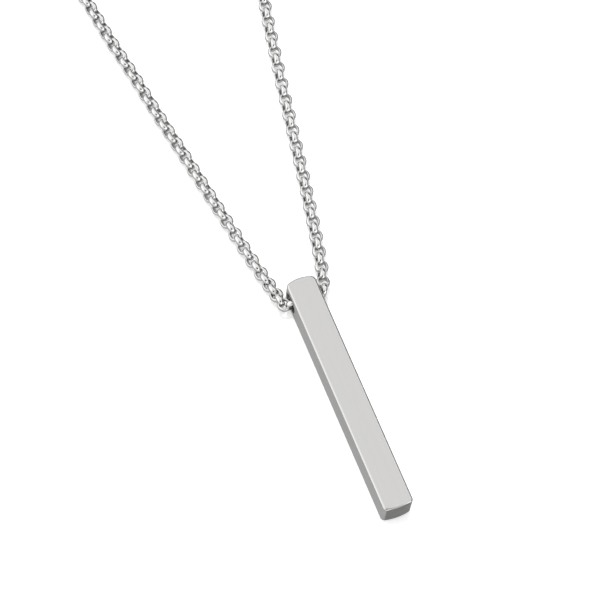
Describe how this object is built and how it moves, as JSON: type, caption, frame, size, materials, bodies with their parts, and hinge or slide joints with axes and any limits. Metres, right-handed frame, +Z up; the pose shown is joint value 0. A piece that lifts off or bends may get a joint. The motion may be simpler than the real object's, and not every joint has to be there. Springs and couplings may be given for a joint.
{
  "type": "bar pendant on a chain",
  "caption": "Square polished steel bar pendant, pierced side to side near its top end, on a whole rounded box chain closed by a plain clasp, laid flat in a loop.",
  "frame": {"origin": "middle of the bar's back face, which lies on the ground", "axes": "+Z up, out of the bar's front face; +Y along the bar from its lower end to its pierced top end and on to the clasp; +X to the right"},
  "size_m": [0.1062, 0.2848, 0.0046],
  "materials": {
    "bar_steel": "satin polish, evenly bright, with softened edges",
    "chain_steel": "tumble polished",
    "clasp_steel": "polished"
  },
  "bodies": {
    "root": {"bar": "bar_steel", "chain": "chain_steel", "clasp": "clasp_steel"}
  },
  "joints": []
}
